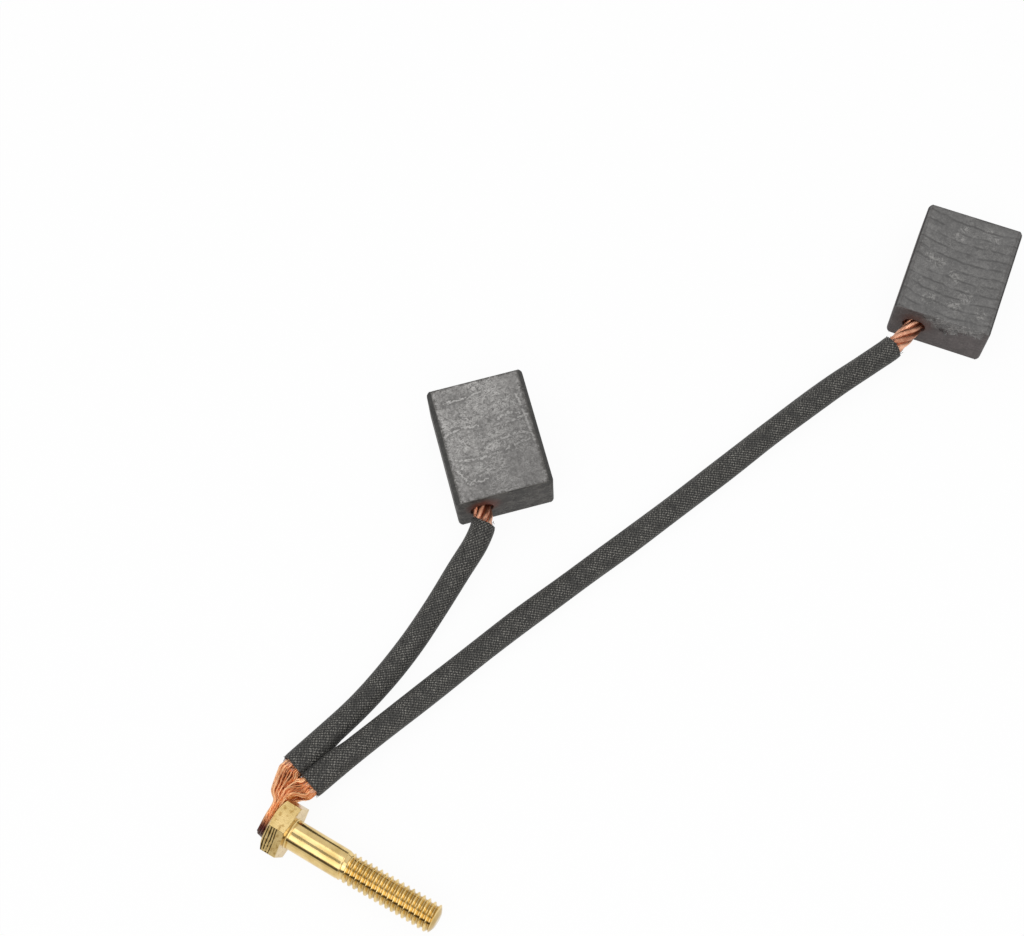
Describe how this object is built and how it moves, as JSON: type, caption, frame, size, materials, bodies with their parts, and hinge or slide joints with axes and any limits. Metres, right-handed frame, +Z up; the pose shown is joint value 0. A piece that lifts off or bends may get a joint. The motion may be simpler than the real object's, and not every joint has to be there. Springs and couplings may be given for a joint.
{
  "type": "carbon brush set",
  "caption": "Carbon brush set: rectangular carbon blocks on sleeved stranded copper leads of unequal length, welded to the head of one hexagon-headed brass terminal bolt.",
  "frame": {"origin": "bottom centre of the box around the terminal bolt and both brushes, on the plane that the set lies on", "axes": "+X along the terminal stud, away from its head; +Y the way both leads run from the bolt to the brushes, the longest side; +Z up from the plane that the set lies on"},
  "size_m": [0.1015, 0.2015, 0.0132],
  "materials": {
    "brass": "bright machined brass, rolled thread, light film of oxide",
    "welded_copper": "splayed copper strands fused flat, heat-tinted purple brown at the free end",
    "copper_rope": "bright bare copper wire, stranded",
    "woven_sleeve": "black varnished woven glass-fibre sleeve with a fine weave",
    "copper_powder": "dull tamped copper powder",
    "short_lead_carbon": "matte pressed carbon, pale mottled top with fine creases",
    "long_lead_carbon": "matte sawn carbon with faint curved saw marks"
  },
  "bodies": {
    "root": {"terminal_bolt": "brass", "weld_joint": "welded_copper", "short_lead_rope": "copper_rope", "short_lead_sleeve": "woven_sleeve", "short_lead_powder": "copper_powder", "short_lead_brush": "short_lead_carbon", "long_lead_rope": "copper_rope", "long_lead_sleeve": "woven_sleeve", "long_lead_powder": "copper_powder", "long_lead_brush": "long_lead_carbon"}
  },
  "joints": []
}
